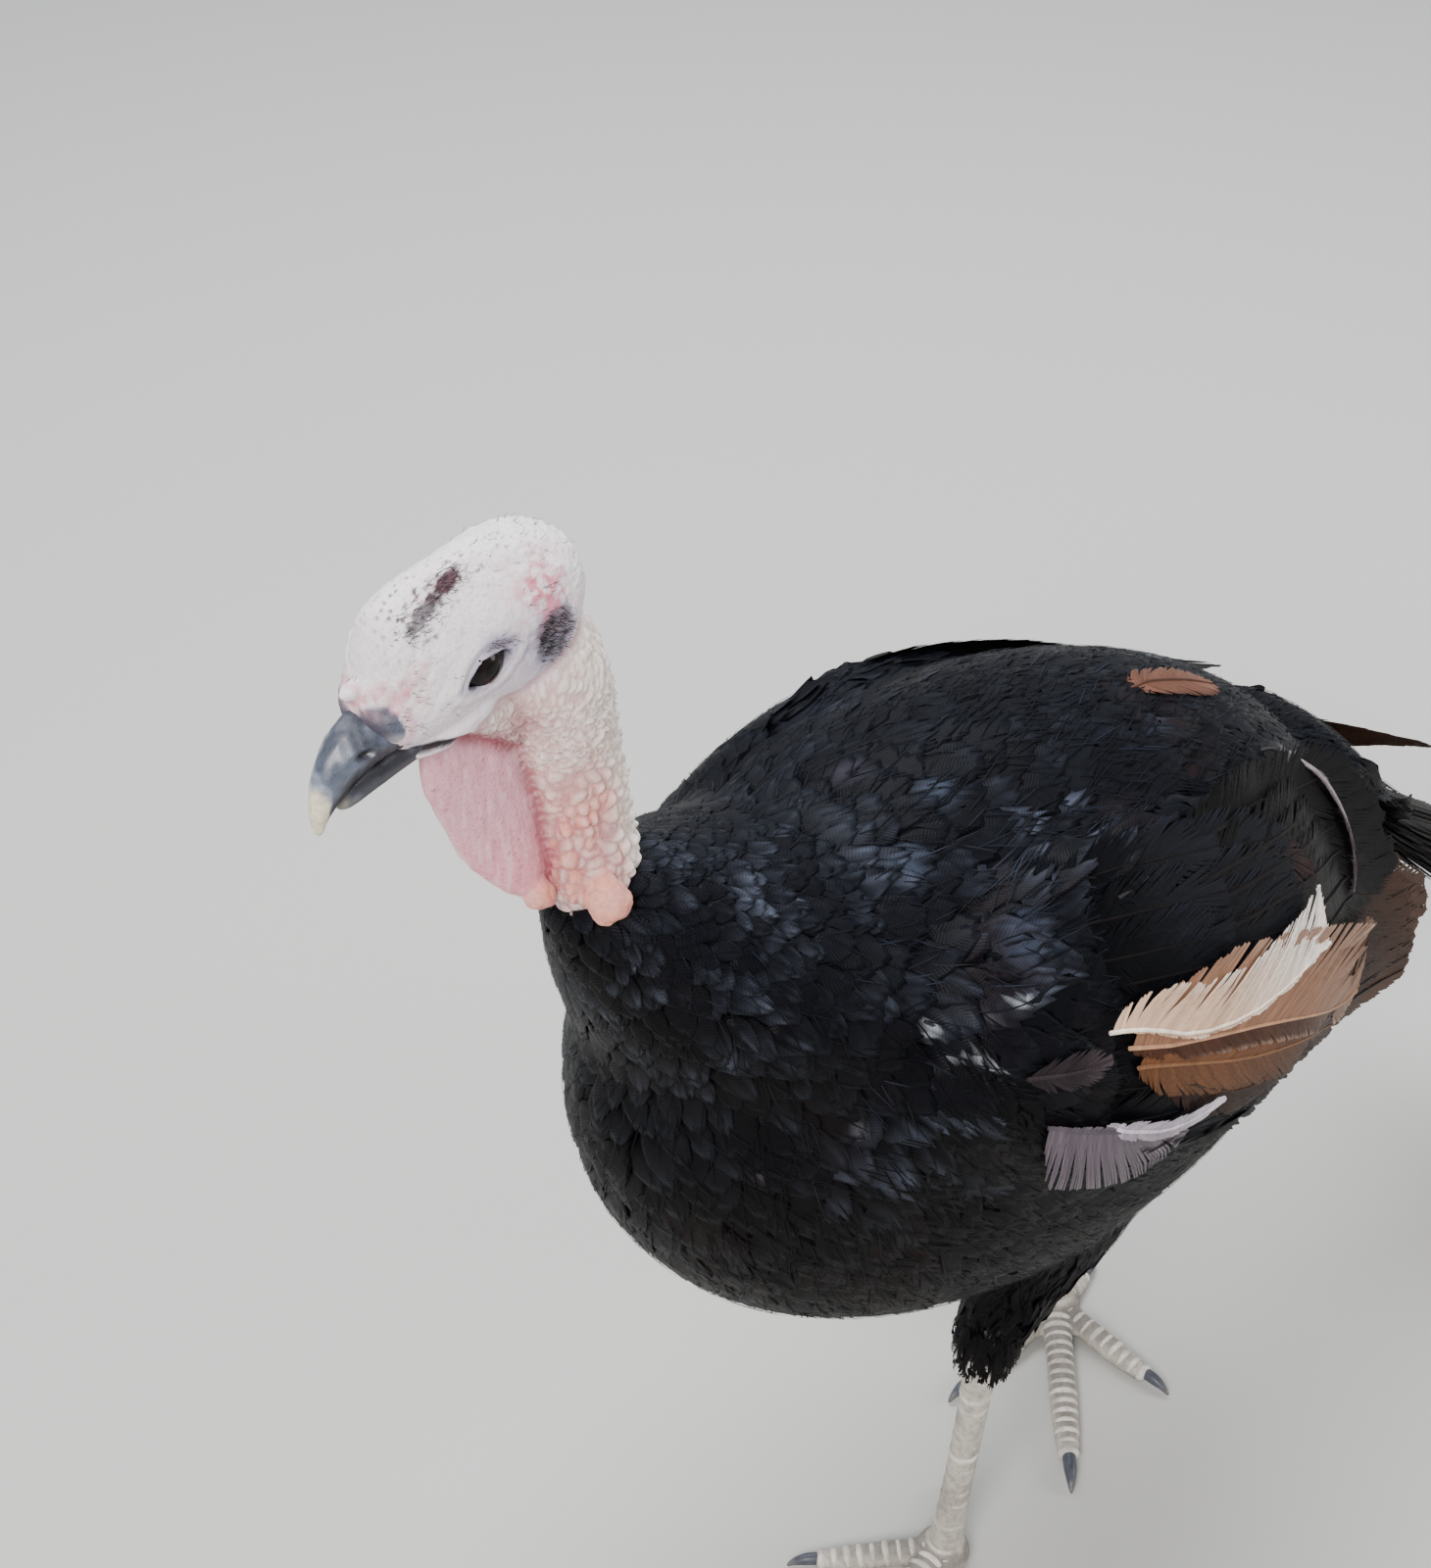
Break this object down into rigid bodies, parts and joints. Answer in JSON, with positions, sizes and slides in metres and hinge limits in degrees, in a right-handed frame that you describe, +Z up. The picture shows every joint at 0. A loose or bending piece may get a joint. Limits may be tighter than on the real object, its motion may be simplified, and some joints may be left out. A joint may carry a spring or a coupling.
{
  "type": "domestic turkey",
  "caption": "Life-size domestic turkey hen, dark plumage and bare pale head, standing in mid stride as a still museum model.",
  "frame": {"origin": "on the floor under the middle of the bird's bounding box", "axes": "the bird faces -X, its left side is -Y, +Z is up"},
  "size_m": [0.6562, 0.2232, 0.5573],
  "materials": {
    "body_plumage": "glossy black feathers with a blue-grey sheen",
    "flight_feathers": "dark brown vanes, a few cream and tan ones",
    "face_skin": "smooth white to pink bare skin",
    "wattle_skin": "dusty pink loose skin",
    "neck_skin": "knobbly cream and coral skin",
    "bill_horn": "slate grey horn with an ivory tip",
    "eyeball": "wet near-black eye",
    "leg_scales": "pale grey scutes with dark joints",
    "claw_horn": "blunt slate horn"
  },
  "bodies": {
    "root": {"head": "face_skin", "eye_left": "eyeball", "eye_right": "eyeball", "bill_upper": "bill_horn", "bill_lower": "bill_horn", "snood": "wattle_skin", "neck_hackle": "body_plumage", "neck_bare": "neck_skin", "dewlap": "wattle_skin", "caruncle_left": "neck_skin", "caruncle_front": "neck_skin", "caruncle_right": "neck_skin", "trunk": "body_plumage", "rump": "body_plumage", "tail_left": "flight_feathers", "tail_centre": "flight_feathers", "tail_right": "flight_feathers", "tail_coverts_upper": "body_plumage", "tail_coverts_under": "body_plumage", "wing_left_coverts": "body_plumage", "wing_left_secondaries": "flight_feathers", "wing_left_primaries": "flight_feathers", "wing_right_coverts": "body_plumage", "wing_right_secondaries": "flight_feathers", "wing_right_primaries": "flight_feathers", "foot_left": "leg_scales", "toe_left_middle": "leg_scales", "claw_left_middle": "claw_horn", "toe_left_inner": "leg_scales", "claw_left_inner": "claw_horn", "toe_left_outer": "leg_scales", "claw_left_outer": "claw_horn", "toe_left_hind": "leg_scales", "claw_left_hind": "claw_horn", "thigh_left": "body_plumage", "shank_left": "leg_scales", "foot_right": "leg_scales", "toe_right_middle": "leg_scales", "claw_right_middle": "claw_horn", "toe_right_inner": "leg_scales", "claw_right_inner": "claw_horn", "toe_right_outer": "leg_scales", "claw_right_outer": "claw_horn", "toe_right_hind": "leg_scales", "claw_right_hind": "claw_horn", "thigh_right": "body_plumage", "shank_right": "leg_scales"}
  },
  "joints": []
}
